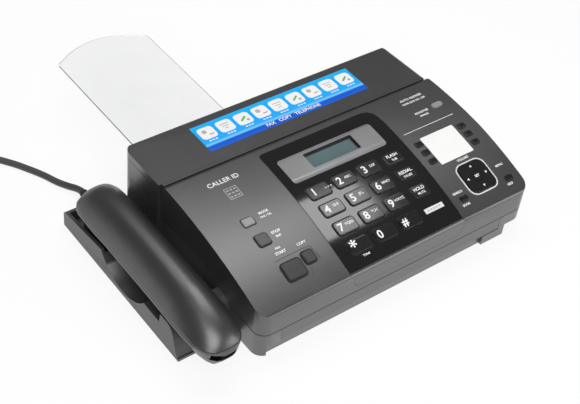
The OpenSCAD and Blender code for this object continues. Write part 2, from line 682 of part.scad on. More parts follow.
recess = [[36.5, -110.5], [37.5, -109.3], [72, -108.8], [74, -110], [75.5, -122], [73, -124.5], [64, -125.5],
    [61.5, -130.5], [59.5, -132.3], [38.5, -132.6], [36.5, -131]];
window = round_rect(window_x - window_w / 2, window_y - window_d / 2, window_x + window_w / 2,
    window_y + window_d / 2, 1.5);
card = [card_x0, card_y0, card_x1, card_y1];

// Places something under the panel at a distance v along its slope from the board's middle
module on_board(x, v, w) {
    on_panel(x, board_y) translate([0, v, w]) children();
}

module front_cover() {
    color([0.27, 0.27, 0.28]) difference() {
        union() {
            difference() {
                panel_solid();
                intersection() {
                    prism(panel_plan(wall), -2, body_h + 1);
                    along_x(left_x - 1, right_x + 1) polygon(inner_view);
                }
            }
            // Pins that turn in the base's ears
            rod_x(left_x + wall - 0.5, left_x + wall + pin_l, panel_hinge_y, panel_hinge_z, pin_r);
            rod_x(hinge_x1 - wall - pin_l, hinge_x1 - wall + 0.5, panel_hinge_y, panel_hinge_z, pin_r);
            // Posts for the key board
            for (p = [[left_x + 31, -1], [left_x + 31, 1], [right_x - 22.5, -1], [right_x - 34, 1]])
                let (v = p[1] * (board_l / 2 - 8)) on_board(p[0], v, -board_drop)
                    cylinder(h = board_drop - roof_t + 0.5 - v * v / (2 * arc_r), r = 2.5, $fn = 24);
        }
        gloss_form(0.2);
        key_holes(gloss_keys);
        key_holes(side_keys);
        prism(window, body_h - 20, body_h + 1);
        curved_sheet(round_rect(card_x0 - 0.2, card_y0 - 0.2, card_x1 + 0.2, card_y1 + 0.2, 1), -5,
            card_t);
        // Shallow recess round the start and copy keys
        curved_sheet([for (p = recess) [left_x + p[0], seam_y + p[1]]], -5, 0.5);
    }
}

module centre_panel() {
    color([0.1, 0.1, 0.11]) difference() {
        intersection() {
            panel_solid();
            gloss_form(0);
        }
        key_holes(gloss_keys);
        prism(window, body_h - 20, body_h + 1);
        curved_sheet(round_rect(bezel_x - bezel_w / 2 - 0.1, bezel_y - bezel_d / 2 - 0.1,
            bezel_x + bezel_w / 2 + 0.1, bezel_y + bezel_d / 2 + 0.1, 3.1), -5, bezel_t / 2);
    }
}

module display_bezel() {
    color([0.56, 0.56, 0.57]) difference() {
        curved_sheet(round_rect(bezel_x - bezel_w / 2, bezel_y - bezel_d / 2, bezel_x + bezel_w / 2,
            bezel_y + bezel_d / 2, 3), -bezel_t / 2, bezel_t / 2);
        prism(window, body_h - 20, body_h + 5);
    }
}

module display_module() {
    color([0.37, 0.44, 0.45]) on_panel(window_x, window_y) {
        translate([-window_w / 2 - 6, -window_d / 2 - 5, -roof_t - 6])
            cube([window_w + 12, window_d + 10, 6 - pow(window_d / 2 + 5, 2) / (2 * arc_r)]);
        translate([-window_w / 2 + 0.3, -window_d / 2 + 0.3, -roof_t - 1])
            cube([window_w - 0.6, window_d - 0.6, 2.2]);
    }
}

module index_card() {
    color([0.95, 0.95, 0.93]) curved_sheet(round_rect(card_x0, card_y0, card_x1, card_y1, 1), 0, card_t);
}

module panel_board() {
    color([0.15, 0.35, 0.2]) difference() {
        on_board(0, 0, -board_drop - board_t)
            translate([board_x[0], -board_l / 2, 0]) cube([board_x[1] - board_x[0], board_l, board_t]);
        // Cut-out round the display
        on_panel(window_x, window_y) translate([-window_w / 2 - 8, -window_d / 2 - 7, -25])
            cube([window_w + 16, window_d + 14, 24]);
    }
}

// Keys
key_colour = [0.32, 0.32, 0.33];
module key_1() { color(key_colour) key(dial_key(0, 0)); }
module key_2() { color(key_colour) key(dial_key(1, 0)); }
module key_3() { color(key_colour) key(dial_key(2, 0)); }
module key_4() { color(key_colour) key(dial_key(0, 1)); }
module key_5() { color(key_colour) key(dial_key(1, 1)); }
module key_6() { color(key_colour) key(dial_key(2, 1)); }
module key_7() { color(key_colour) key(dial_key(0, 2)); }
module key_8() { color(key_colour) key(dial_key(1, 2)); }
module key_9() { color(key_colour) key(dial_key(2, 2)); }
module key_star() { color(key_colour) key(dial_key(0, 3)); }
module key_0() { color(key_colour) key(dial_key(1, 3)); }
module key_hash() { color(key_colour) key(dial_key(2, 3)); }
module function_key_1() { color(key_colour) key(function_key(0)); }
module function_key_2() { color(key_colour) key(function_key(1)); }
module function_key_3() { color(key_colour) key(function_key(2)); }
module mode_key() { color([0.62, 0.62, 0.62]) key(mode); }
module stop_key() { color(key_colour) key(stop); }
module start_key() { color(key_colour) key(start); }
module copy_key() { color(key_colour) key(copy); }
module volume_key() { color(key_colour) key(volume); }
module station_key_1() { color(key_colour) key(station(0, 0)); }
module station_key_2() { color(key_colour) key(station(0, 1)); }
module station_key_3() { color(key_colour) key(station(0, 2)); }
module station_key_4() { color(key_colour) key(station(1, 0)); }
module station_key_5() { color(key_colour) key(station(1, 1)); }
module station_key_6() { color(key_colour) key(station(1, 2)); }
module left_pad_key() { color(key_colour) key(left_pad); }
module right_pad_key() { color(key_colour) key(right_pad); }

module navigation_pad() {
    color([0.2, 0.2, 0.21]) difference() {
        key(pad);
        on_panel(pad[0], pad[1]) translate([0, 0, -10]) linear_extrude(20)
            polygon(round_rect(-pad_set[2] / 2 - key_gap, -pad_set[3] / 2 - key_gap,
                pad_set[2] / 2 + key_gap, pad_set[3] / 2 + key_gap, pad_set[4] + key_gap, 3));
    }
}

module set_key() {
    color(key_colour) on_panel(pad_set[0], pad_set[1]) {
        translate([0, 0, -roof_t - 2.5]) linear_extrude(roof_t + 2.5 + key_up)
            polygon(round_rect(-pad_set[2] / 2, -pad_set[3] / 2, pad_set[2] / 2, pad_set[3] / 2,
                pad_set[4], 3));
    }
}

// ---- Handset ----
// Sections from nose to ear end: [distance, half width, top, seam, bottom], heights over the rest
sections = [[0, 4, 6, 4, 2], [3, 12, 12, 4.8, -5], [8, 17, 17, 5.5, -12], [13, 19.5, 20, 6.2, -15],
    [20, 22, 23.5, 7.2, -15], [35, 23, 28, 9.3, -15], [43, 23, 30, 10.3, -14.5], [46, 23, 30.8, 10.8, -7.5],
    [49, 23, 31.4, 11.2, -2.6], [52, 23, 32, 11.7, -0.2], [56, 22.8, 32.6, 12.3, 0.3],
    [85, 22.5, 34.5, 14.3, 0.3], [115, 22.5, 35, 15, 0.3], [150, 22.5, 34.6, 15, 0.3],
    [156, 22.8, 34.3, 14.8, -0.8], [162, 23, 33.8, 14.5, -5], [166, 23, 33.4, 14.3, -9.3],
    [172, 23, 32.8, 14, -10], [182, 22.8, 31, 13.5, -10], [190, 21, 28.5, 13, -10],
    [197, 17.5, 24.5, 12.3, -9], [202, 12, 19, 11.6, -5], [205, 5, 14, 11, 8]];
ring_n = 16;

function power(v, e) = sign(v) * pow(abs(v), e);
// Half ring of one section; side is 1 for the upper shell and -1 for the lower one
function half_ring(s, side, inset, e) = [for (i = [0:ring_n]) let (a = 180 * i / ring_n)
    [handset_x + side * (s[1] * handset_w / 46 - inset) * power(cos(a), e),
     nose_y + s[0] * handset_l / 205,
     rest_h + s[3] + (side > 0 ? s[2] - s[3] : s[4] - s[3]) * pow(abs(sin(a)), e)]];

module half_shell(side, inset, e) {
    m = ring_n + 1;
    last = len(sections) - 1;
    polyhedron(points = [for (s = sections) each half_ring(s, side, inset, e)],
        faces = concat([[for (j = [m - 1:-1:0]) j]], [[for (j = [0:m - 1]) last * m + j]],
            [for (i = [0:last - 1], j = [0:m - 1], t = [0, 1]) let (a = i * m + j,
                b = i * m + (j + 1) % m) t == 0 ? [a, b, b + m] : [a, b + m, a + m]]));
}

module cap_space(y, bottom, r, t) {
    translate([handset_x, y, bottom]) cylinder(h = t, r = r, $fn = 48);
}

module handset_back() {
    color([0.2, 0.2, 0.2]) half_shell(1, 0, 0.78);
}

module handset_face() {
    color([0.22, 0.22, 0.22]) difference() {
        half_shell(-1, 0.5, 0.5);
        cap_space(ear_y, ear_bottom - 1, ear_r_cap + 0.2, cap_t + 1);
        cap_space(mouth_y, mouth_bottom - 1, mouth_r_cap + 0.2, cap_t + 1);
        // Jack for the handset's own cord
        box(handset_x - 7, handset_x + 7, nose_y - 1, nose_y + 9, rest_h - 3, rest_h + 3.5);
    }
}

module handset_caps() {
    color([0.12, 0.12, 0.12]) {
        difference() {
            cap_space(ear_y, ear_bottom, ear_r_cap, cap_t);
            for (i = [0:5])
                translate([handset_x + 7 * cos(i * 60), ear_y + 7 * sin(i * 60), ear_bottom - 1])
                    cylinder(h = 1.8, r = 1.2, $fn = 16);
        }
        difference() {
            cap_space(mouth_y, mouth_bottom, mouth_r_cap, cap_t);
            for (i = [-1:1])
                translate([handset_x + i * 5, mouth_y, mouth_bottom - 1]) cylinder(h = 1.8, r = 1, $fn = 16);
        }
    }
}

// ---- Paper and drive ----
module paper_roll() {
    color([0.95, 0.95, 0.93]) difference() {
        rod_x(mid_x - roll_w / 2, mid_x + roll_w / 2, roll_y, roll_z, roll_r);
        rod_x(mid_x - roll_w, mid_x + roll_w, roll_y, roll_z, core_d / 2);
    }
}

// Involute teeth. A tooth's middle points along angle 0.
addendum = 0.8 * gear_m;
dedendum = 1.05 * gear_m;
pressure = 20;
backlash = 0.1;
function involute(rb, r) = let (t = sqrt(max(0, r * r / (rb * rb) - 1))) t * 180 / PI - atan(t);
function flank(n, r) = let (rp = gear_m * n / 2, rb = rp * cos(pressure))
    90 / n - backlash / rp * 45 / PI + involute(rb, rp) - involute(rb, max(r, rb));
function gear_outline(n, a0) = let (rp = gear_m * n / 2, rb = rp * cos(pressure),
        r0 = rp - dedendum, r1 = rp + addendum, r2 = max(rb, r0))
    [for (i = [0:n - 1], q = [0:9]) let (k = q < 5 ? q : 9 - q, side = q < 5 ? -1 : 1,
        r = k == 0 ? r0 : r2 + (r1 - r2) * (k - 1) / 3,
        a = a0 + i * 360 / n + side * flank(n, k == 0 ? r2 : r)) [r * cos(a), r * sin(a)]];

module gear(n, a0, x0, y, z) {
    along_x(x0, x0 + gear_w) translate([y, z]) polygon(gear_outline(n, a0));
}

module platen_roller() {
    color([0.12, 0.12, 0.13]) {
        rod_x(cheek_l + cheek_t + 0.6, cheek_r - 0.6, platen_y, platen_z, roller_r);
        rod_x(gear_x - 1, cheek_r + cheek_t + 2, platen_y, platen_z, shaft_r);
    }
}

module platen_gear() {
    color([0.9, 0.9, 0.88]) difference() {
        gear(gear_n, -90, gear_x, platen_y, platen_z);
        rod_x(gear_x - 1, gear_x + gear_w + 1, platen_y, platen_z, shaft_r);
    }
}

module feed_roller() {
    color([0.2, 0.2, 0.21]) {
        for (i = [0:3])
            rod_x(cheek_l + 20 + i * 55, cheek_l + 50 + i * 55, feed_y, platen_z, roller_r);
        rod_x(gear_x, cheek_r + cheek_t + 2, feed_y, platen_z, shaft_r);
        gear(gear_n, 270 + 180 / gear_n, gear_x, feed_y, platen_z);
    }
}

module motor_pinion() {
    color([0.75, 0.65, 0.35]) {
        gear(pinion_n, 90 + 180 / pinion_n, gear_x, platen_y, pinion_z);
        rod_x(motor_x - 8, gear_x + gear_w, platen_y, pinion_z, 1.5);
    }
}

module drive_motor() {
    color([0.6, 0.6, 0.62]) difference() {
        union() {
            rod_x(left_x + wall + 3, motor_x, platen_y, pinion_z, motor_d / 2);
            along_x(motor_x - 1.5, motor_x) translate([platen_y, pinion_z])
                polygon(round_rect(-post_y - 4, -4, post_y + 4, 4, 3.9));
        }
        rod_x(motor_x - 9, motor_x + 1, platen_y, pinion_z, 1.5 + run);
    }
}

module thermal_head() {
    color([0.7, 0.7, 0.72]) along_x(cheek_l + cheek_t + 1, cheek_r - 1)
        translate([platen_y, floor_z + 4]) polygon([[-8, 0], [8, 0], [8, 2.5], [2, 2.5],
            [2, sensor_z1 - floor_z - 4 - head_t], [9, sensor_z1 - floor_z - 4 - head_t],
            [9, sensor_z1 - floor_z - 4], [-9, sensor_z1 - floor_z - 4],
            [-9, sensor_z1 - floor_z - 4 - head_t], [-2, sensor_z1 - floor_z - 4 - head_t],
            [-2, 2.5], [-8, 2.5]]);
}

module image_sensor() {
    color([0.15, 0.15, 0.16]) box(cheek_l + cheek_t + 1, cheek_r - 1, feed_y - sensor_d / 2,
        feed_y + sensor_d / 2, sensor_z1 - 12, sensor_z1);
}

board_z = floor_z + 4.5;
module main_board() {
    color([0.15, 0.35, 0.2]) {
        box(mid_x - 92, mid_x + 92, front_y + 16, front_y + 82, board_z, board_z + 1.6);
        box(mid_x - 70, mid_x - 42, front_y + 30, front_y + 60, board_z, board_z + 13);
        box(mid_x - 30, mid_x - 6, front_y + 40, front_y + 64, board_z, board_z + 5);
        box(mid_x + 20, mid_x + 44, front_y + 28, front_y + 36, board_z, board_z + 10);
        for (i = [0:2])
            translate([mid_x + 60 + i * 11, front_y + 56, board_z]) cylinder(h = 13, r = 4, $fn = 24);
    }
}

// ---- Paper tray ----
tray_bow = 15;
tray_y1 = back_y + tray_out;
tray_edge = [for (i = [0:8]) let (t = i / 4 - 1) [tray_x - t * (tray_w / 2 - 5), tray_y1 - tray_bow * t * t]];

module paper_tray() {
    color([0.85, 0.88, 0.9, 0.4]) {
        prism(concat([[tray_x - tray_w / 2, back_y + 0.3], [tray_x + tray_w / 2, back_y + 0.3],
            [tray_x + tray_w / 2, tray_y1 - tray_bow - 5], [tray_x + tray_w / 2 - 1.5,
            tray_y1 - tray_bow - 1.5]], tray_edge, [[tray_x - tray_w / 2 + 1.5, tray_y1 - tray_bow - 1.5],
            [tray_x - tray_w / 2, tray_y1 - tray_bow - 5]]), tray_z, tray_z + tray_t);
        for (side = [-1, 1])
            box(tray_x + side * pocket_x - tongue_w / 2, tray_x + side * pocket_x + tongue_w / 2,
                back_y - tongue_l, back_y + 1, tray_z, tray_z + tray_t);
    }
}

// ---- Mains lead ----
// Points along the lead, from the strain relief to the coil of spare lead
lead_points = [[-144, 27, 8.5], [-144, 40, 8.5], [-144, 53, 8.5], [-145, 62, 6.5], [-149, 72, 4],
    [-154, 82, 3.2], [-160, 95, 3.2], [-168, 110, 3.2], [-178, 126, 3.2], [-190, 140, 3.2],
    [-205, 151, 3.2]];
coil_at = [-205, 199];
coil_r = 35;
coil_cols = 3;
plug_at = [-240, 232];
lead_sides = 10;

function vec_unit(v) = v / norm(v);
function smooth(p0, p1, p2, p3, t) = 0.5 * (2 * p1 + (p2 - p0) * t + (2 * p0 - 5 * p1 + 4 * p2 - p3) * t * t
    + (3 * p1 - p0 - 3 * p2 + p3) * t * t * t);
lead_n = len(lead_points);
lead_path = [for (i = [0:lead_n - 2], k = [0:i == lead_n - 2 ? 2 : 1]) smooth(
    lead_points[max(0, i - 1)], lead_points[i], lead_points[i + 1], lead_points[min(lead_n - 1, i + 2)],
    k / 2)];

module power_lead() {
    n = len(lead_path);
    rings = [for (i = [0:n - 1]) let (d = vec_unit(lead_path[min(n - 1, i + 1)] - lead_path[max(0, i - 1)]),
        u = vec_unit(cross([0, 0, 1], d)), v = cross(d, u))
        [for (j = [0:lead_sides - 1]) let (a = 360 * (j + 0.5) / lead_sides)
            lead_path[i] + lead_r * (cos(a) * u + sin(a) * v)]];
    color([0.35, 0.35, 0.36]) polyhedron(points = [for (r = rings) each r],
        faces = concat([[for (j = [0:lead_sides - 1]) j]],
            [[for (j = [lead_sides - 1:-1:0]) (n - 1) * lead_sides + j]],
            [for (i = [0:n - 2], j = [0:lead_sides - 1], t = [0, 1]) let (a = i * lead_sides + j,
                b = i * lead_sides + (j + 1) % lead_sides)
                t == 0 ? [a, b + lead_sides, b] : [a, a + lead_sides, b + lead_sides]]));
}

module lead_relief() {
    color([0.2, 0.2, 0.2]) translate([lead_x, cradle_y1, lead_z]) rotate([-90, 0, 0]) difference() {
        union() {
            translate([0, 0, -cradle_t]) cylinder(h = cradle_t + 1, r = relief_r, $fn = 48);
            cylinder(h = 2, r = relief_r + 1.5, $fn = 48);
            cylinder(h = relief_l, r1 = relief_r + 0.6, r2 = lead_r + 0.8, $fn = 48);
        }
        translate([0, 0, -cradle_t - 1]) cylinder(h = relief_l + cradle_t + 2, r = lead_r + 0.1, $fn = 48);
    }
}

module lead_coil() {
    color([0.35, 0.35, 0.36]) translate([coil_at[0], coil_at[1], 0]) rotate_extrude($fn = 64)
        translate([coil_r, 0]) polygon(round_rect(-coil_cols * lead_r, 0, coil_cols * lead_r,
            2 * lead_d - 0.6, 2.5));
}

module power_plug() {
    color([0.35, 0.35, 0.36]) translate([plug_at[0], plug_at[1], 7]) {
        translate([-17.5, 14, -7]) cube([35, 22, 14]);
        rotate([-90, 0, 0]) cylinder(h = 16, r1 = 4.2, r2 = 6.5, $fn = 32);
        for (side = [-1, 1])
            translate([side * 9.5, 35, 0]) rotate([-90, 0, 0]) cylinder(h = 20, r = 2, $fn = 24);
    }
}

base_housing();
front_strip();
handset_cradle();
rubber_feet();
rear_cover();
cover_latch();
front_cover();
centre_panel();
display_bezel();
display_module();
index_card();
panel_board();
key_1();
key_2();
key_3();
key_4();
key_5();
key_6();
key_7();
key_8();
key_9();
key_star();
key_0();
key_hash();
function_key_1();
function_key_2();
function_key_3();
mode_key();
stop_key();
start_key();
copy_key();
volume_key();
station_key_1();
station_key_2();
station_key_3();
station_key_4();
station_key_5();
station_key_6();
navigation_pad();
set_key();
left_pad_key();
right_pad_key();
handset_back();
handset_face();
handset_caps();
hook_plunger();
paper_roll();
platen_roller();
platen_gear();
feed_roller();
motor_pinion();
drive_motor();
thermal_head();
image_sensor();
main_board();
paper_tray();
lead_relief();
power_lead();
lead_coil();
power_plug();
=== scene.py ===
# Desktop fax machine with a corded handset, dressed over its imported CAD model. Metres, Z up.
import json
import math

import bmesh
import bpy
from mathutils import Matrix, Vector


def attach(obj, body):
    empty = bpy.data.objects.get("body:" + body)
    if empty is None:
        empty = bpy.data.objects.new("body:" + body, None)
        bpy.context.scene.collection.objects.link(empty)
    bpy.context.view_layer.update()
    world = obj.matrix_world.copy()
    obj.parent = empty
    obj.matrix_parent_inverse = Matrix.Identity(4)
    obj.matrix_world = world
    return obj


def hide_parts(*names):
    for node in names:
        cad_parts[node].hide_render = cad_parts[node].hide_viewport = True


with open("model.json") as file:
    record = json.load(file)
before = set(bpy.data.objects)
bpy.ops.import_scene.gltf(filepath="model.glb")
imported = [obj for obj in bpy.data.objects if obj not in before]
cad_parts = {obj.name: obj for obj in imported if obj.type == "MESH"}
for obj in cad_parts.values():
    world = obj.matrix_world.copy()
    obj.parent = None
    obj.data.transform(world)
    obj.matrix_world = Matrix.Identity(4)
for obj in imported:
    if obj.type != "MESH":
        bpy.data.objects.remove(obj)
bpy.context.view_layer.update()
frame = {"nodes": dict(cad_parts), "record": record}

# ---- Camera ----
# A long lens looks down on the machine from its front left, with the horizon slightly rolled,
# as a product is shot on a sweep of white paper.
azimuth = math.radians(-42.0)
elevation = math.radians(42.98)
roll = math.radians(7.45)
aim_point = Vector((0.0144, -0.0462, 0))
camera_distance = 1.112
toward = Vector((math.sin(azimuth) * math.cos(elevation), -math.cos(azimuth) * math.cos(elevation),
                 math.sin(elevation)))
level = (-toward).cross(Vector((0, 0, 1))).normalized()
upright = level.cross(-toward)
across = math.cos(roll) * level + math.sin(roll) * upright
above = math.cos(roll) * upright - math.sin(roll) * level
camera = bpy.data.objects.new("camera", bpy.data.cameras.new("camera"))
camera.data.lens = 75.17
camera.data.sensor_width = 36
camera.data.clip_end = 20
camera_turn = Matrix((across, above, toward)).transposed().to_4x4()
camera.matrix_world = Matrix.Translation(aim_point + camera_distance * toward) @ camera_turn
bpy.context.collection.objects.link(camera)
bpy.context.scene.camera = camera


# ---- Mains lead ----
# A round PVC lead, 6.4 mm thick, leaves the back of the cradle through a rubber sleeve, drops to
# the desk and runs off behind. The spare length is wound in a flat two-layer coil, inwards on
# the desk and outwards on top, and ends in a moulded two-pin plug.
def surface(name, colour, rough, grain=0.0005, relief=0.00001, vary=0.06, **sockets):
    """Moulded or painted finish: fine grain in the surface, slow drift in tone and in gloss."""
    material = bpy.data.materials.new(name)
    material.use_nodes = True
    tree = material.node_tree
    shader = tree.nodes["Principled BSDF"]
    for socket, value in sockets.items():
        shader.inputs[socket.replace("_", " ")].default_value = value
    place = tree.nodes.new("ShaderNodeTexCoord")
    fine = tree.nodes.new("ShaderNodeTexNoise")
    fine.inputs["Scale"].default_value = 1 / grain
    fine.inputs["Detail"].default_value = 3
    tree.links.new(place.outputs["Object"], fine.inputs["Vector"])
    bump = tree.nodes.new("ShaderNodeBump")
    bump.inputs["Strength"].default_value = 0.6
    bump.inputs["Distance"].default_value = relief
    tree.links.new(fine.outputs["Fac"], bump.inputs["Height"])
    tree.links.new(bump.outputs["Normal"], shader.inputs["Normal"])
    broad = tree.nodes.new("ShaderNodeTexNoise")
    broad.inputs["Scale"].default_value = 35
    broad.inputs["Detail"].default_value = 4
    tree.links.new(place.outputs["Object"], broad.inputs["Vector"])
    tone = tree.nodes.new("ShaderNodeValToRGB")
    tone.color_ramp.elements[0].position = 0.3
    tone.color_ramp.elements[1].position = 0.7
    tone.color_ramp.elements[0].color = [c * (1 - vary) for c in colour] + [1]
    tone.color_ramp.elements[1].color = [c * (1 + vary) for c in colour] + [1]
    tree.links.new(broad.outputs["Fac"], tone.inputs["Fac"])
    tree.links.new(tone.outputs["Color"], shader.inputs["Base Color"])
    gloss = tree.nodes.new("ShaderNodeMapRange")
    gloss.inputs["To Min"].default_value = rough * 0.9
    gloss.inputs["To Max"].default_value = rough * 1.1
    tree.links.new(broad.outputs["Fac"], gloss.inputs["Value"])
    tree.links.new(gloss.outputs["Result"], shader.inputs["Roughness"])
    return material


def put(piece, body, *nodes, slot=None, material=None):
    """Files a piece: its finish, the body it rides on, the CAD nodes it stands for."""
    if material:
        piece.data.materials.clear()
        piece.data.materials.append(material)
    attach(piece, body)
    if nodes:
        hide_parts(*nodes)
    return piece


cord_pvc = surface("cord_pvc", (0.055, 0.055, 0.058), 0.42, grain=0.0008, relief=0.000006)
lead_route = [(-0.144, 0.027, 0.0085), (-0.144, 0.040, 0.0085), (-0.144, 0.053, 0.0085),
              (-0.145, 0.062, 0.0065), (-0.149, 0.072, 0.004), (-0.154, 0.082, 0.0032),
              (-0.160, 0.096, 0.0032), (-0.168, 0.111, 0.0032), (-0.178, 0.127, 0.0032),
              (-0.190, 0.141, 0.0032)]
lead_radius = 0.0032
coil_centre = Vector((-0.205, 0.199, 0))
coil_radius = 0.0425
coil_pitch = 0.0066
coil_turns = 6.36
coil_steps = 20
coil_start = math.radians(-128.5)
climb = 0.6
coil_points = []
for i in range(int(coil_turns * coil_steps) + 1):
    turn = i / coil_steps
    half = coil_turns / 2
    inward = turn if turn < half else 2 * half - turn
    radius = coil_radius - coil_pitch * inward
    lift = min(max((turn - half + climb / 2) / climb, 0), 1)
    rise = lead_radius + coil_pitch * lift * lift * (3 - 2 * lift)
    angle = coil_start - 2 * math.pi * turn
    coil_points.append(coil_centre + Vector((radius * math.cos(angle), radius * math.sin(angle), rise)))
plug_stretch = [(-0.240, 0.225, 0.0075), (-0.240, 0.235, 0.007)]
lead_curve = bpy.data.curves.new("power_lead_run", "CURVE")
lead_curve.dimensions = "3D"
lead_curve.bevel_depth = lead_radius
lead_curve.bevel_resolution = 4
lead_curve.resolution_u = 6
route = [Vector(p) for p in lead_route] + coil_points + [Vector(p) for p in plug_stretch]
spline = lead_curve.splines.new("BEZIER")
spline.bezier_points.add(len(route) - 1)
for point, place in zip(spline.bezier_points, route):
    point.co = place
    point.handle_left_type = point.handle_right_type = "AUTO"
power_lead = bpy.data.objects.new("power_lead_run", lead_curve)
bpy.context.collection.objects.link(power_lead)
lead_curve.materials.append(cord_pvc)
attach(power_lead, "base")
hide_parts("power_lead", "lead_coil")


bodies = frame["record"]["behaviour"]["bodies"]
home = {node: body for body, nodes in bodies.items() for node in nodes}
weld = 0.000004
flat = math.radians(0.3)


def finished(node, material, slot, edge=0.0003, segments=2, sharp=28, faces=True):
    """Copies a CAD piece, joins its loose triangles into whole faces and rounds its edges a
    little, as a mould leaves them. With faces=False the triangles are only welded."""
    piece = bpy.data.objects.new(node + "_moulded", frame["nodes"][node].data.copy())
    bpy.context.collection.objects.link(piece)
    shape = bmesh.new()
    shape.from_mesh(piece.data)
    bmesh.ops.remove_doubles(shape, verts=shape.verts, dist=weld)
    if faces:
        bmesh.ops.dissolve_limit(shape, angle_limit=flat, verts=shape.verts, edges=shape.edges)
    for face in shape.faces:
        face.smooth = True
        face.material_index = 0
    shape.to_mesh(piece.data)
    shape.free()
    piece.data.set_sharp_from_angle(angle=math.radians(sharp))
    if edge:
        bevel = piece.modifiers.new("edge", "BEVEL")
        bevel.width = edge
        bevel.segments = segments
        bevel.limit_method = "ANGLE"
        bevel.angle_limit = math.radians(sharp)
        bevel.harden_normals = True
        bevel.miter_outer = "MITER_ARC"
    return put(piece, home[node], node, slot=slot, material=material)


sleeve_rubber = surface("sleeve_rubber", (0.02, 0.02, 0.02), 0.55)
finished("lead_relief", sleeve_rubber, "rubber")
plug_piece = finished("power_plug", cord_pvc, "cord", edge=0.0012, segments=3)

# ---- Casings ----
# Base, roll cover, operation panel and cradle are injection mouldings in black ABS with a fine
# spark-eroded grain. The covers clip onto their hinge pins, and four rubber feet are pushed in.
casing_abs = surface("casing_abs", (0.03, 0.03, 0.031), 0.36, grain=0.00045, relief=0.000012, IOR=1.6,
                     Specular_IOR_Level=1.0, Coat_Weight=0.5, Coat_Roughness=0.25)
panel_abs = surface("panel_abs", (0.03, 0.03, 0.031), 0.36, grain=0.00045, relief=0.000012, IOR=1.6,
                    Specular_IOR_Level=1.0, Coat_Weight=0.3, Coat_Roughness=0.3)
cradle_abs = surface("cradle_abs", (0.036, 0.036, 0.037), 0.42, grain=0.00045, relief=0.000012,
                     Specular_IOR_Level=1.0)
finished("base_housing", casing_abs, "casing")
finished("front_strip", panel_abs, "panel", edge=0.0002)
finished("handset_cradle", cradle_abs, "cradle", edge=0.0005)
finished("rear_cover", casing_abs, "casing", edge=0.0005)
finished("cover_latch", panel_abs, "panel", edge=0.0003)

# A thin lip along the roll cover's front edge narrows the seam to the panel
lip_size = Matrix.Diagonal((0.2875, 0.0030, 0.0003, 1))
lip_place = Matrix.Translation((0.02425, -0.0366, 0.07683))
shape = bmesh.new()
bmesh.ops.create_cube(shape, size=1, matrix=lip_place @ lip_size)
cover_lip = bpy.data.objects.new("cover_lip", bpy.data.meshes.new("cover_lip"))
shape.to_mesh(cover_lip.data)
shape.free()
bpy.context.collection.objects.link(cover_lip)
put(cover_lip, "roll_cover", slot="casing", material=casing_abs)

# The arch of the panel's top: its crest, its radius and where it begins in front of the hinge
crest_y, crest_z, curve_r = -0.028, 0.077, 0.424
arch_from = crest_y - 0.014
near_radial = 0.997


def follow_curve(piece):
    """Bakes the edges in and gives the arched top the normals of its true curve."""
    mesh = bpy.data.meshes.new_from_object(piece.evaluated_get(bpy.context.evaluated_depsgraph_get()))
    piece.modifiers.clear()
    piece.data = mesh
    normals = [n.vector.copy() for n in mesh.corner_normals]
    for face in mesh.polygons:
        middle = face.center
        radial = Vector((0, middle.y - crest_y, middle.z - crest_z + curve_r)).normalized()
        if middle.y < arch_from and face.normal.dot(radial) > near_radial:
            for corner in face.loop_indices:
                place = mesh.vertices[mesh.loops[corner].vertex_index].co
                normals[corner] = Vector((0, place.y - crest_y, place.z - crest_z + curve_r)).normalized()
    mesh.normals_split_custom_set(normals)
    return piece


follow_curve(finished("front_cover", panel_abs, "panel"))
finished("rubber_feet", sleeve_rubber, "rubber", edge=0.0004)

# ---- Gloss panel and display ----
# A gloss black insert is let into the panel, and its lip folds down over the front edge in the
# casing's own finish. It carries a bezel in silver paint with the display behind its window.
# A paper index card lies on the panel beside it, between the one-touch keys.
gloss_black = surface("gloss_black", (0.005, 0.005, 0.0055), 0.08, grain=0.006, relief=0.000004,
                      vary=0.1, IOR=1.75)
silver_paint = surface("silver_paint", (0.27, 0.27, 0.275), 0.34, grain=0.0002, relief=0.000003,
                       Metallic=0.35)
display_glass = surface("display_glass", (0.10, 0.155, 0.165), 0.12, grain=0.001, relief=0.000001)
centre_panel = follow_curve(finished("centre_panel", gloss_black, "gloss_black"))
centre_panel.data.materials.append(panel_abs)
lip_from = -0.176
for face in centre_panel.data.polygons:
    if face.center.y < lip_from and face.normal.z < 0.9:
        face.material_index = 1
finished("display_bezel", silver_paint, "silver", edge=0, faces=False)
finished("display_module", display_glass, "display", edge=0)
card_paper = surface("card_paper", (0.86, 0.86, 0.84), 0.6, grain=0.0004, relief=0.000004, vary=0.02)
finished("index_card", card_paper, "card", edge=0)

# ---- Keys ----
# Each key is a moulded cap that slides in a well of its own: the dial and menu keys in gloss
# black, the stop, start and copy keys in satin black, and two small ones in pale grey.
# The navigation pad slides close round the set key, so those two keep plain edges.
key_satin = surface("key_satin", (0.03, 0.03, 0.031), 0.3, grain=0.0006, relief=0.000004)
key_gloss = surface("key_gloss", (0.009, 0.009, 0.0095), 0.13, grain=0.0006, relief=0.000002, IOR=1.7)
key_pale = surface("key_pale", (0.27, 0.27, 0.275), 0.35, grain=0.0006, relief=0.000004)
gloss_keys = ("key_", "function_key", "station", "left_pad", "right_pad", "set_key", "navigation")
satin_keys = ("stop", "start", "copy")
pale_keys = ("mode", "volume")
plain_edged = ("set_key", "navigation_pad")
key_edge = 0.0003
for node in frame["nodes"]:
    if node.startswith(gloss_keys):
        finished(node, key_gloss, "key_grey", edge=0 if node in plain_edged else key_edge)
    elif node.startswith(satin_keys):
        finished(node, key_satin, "key_grey", edge=key_edge)
    elif node.startswith(pale_keys):
        finished(node, key_pale, "key_light", edge=key_edge)

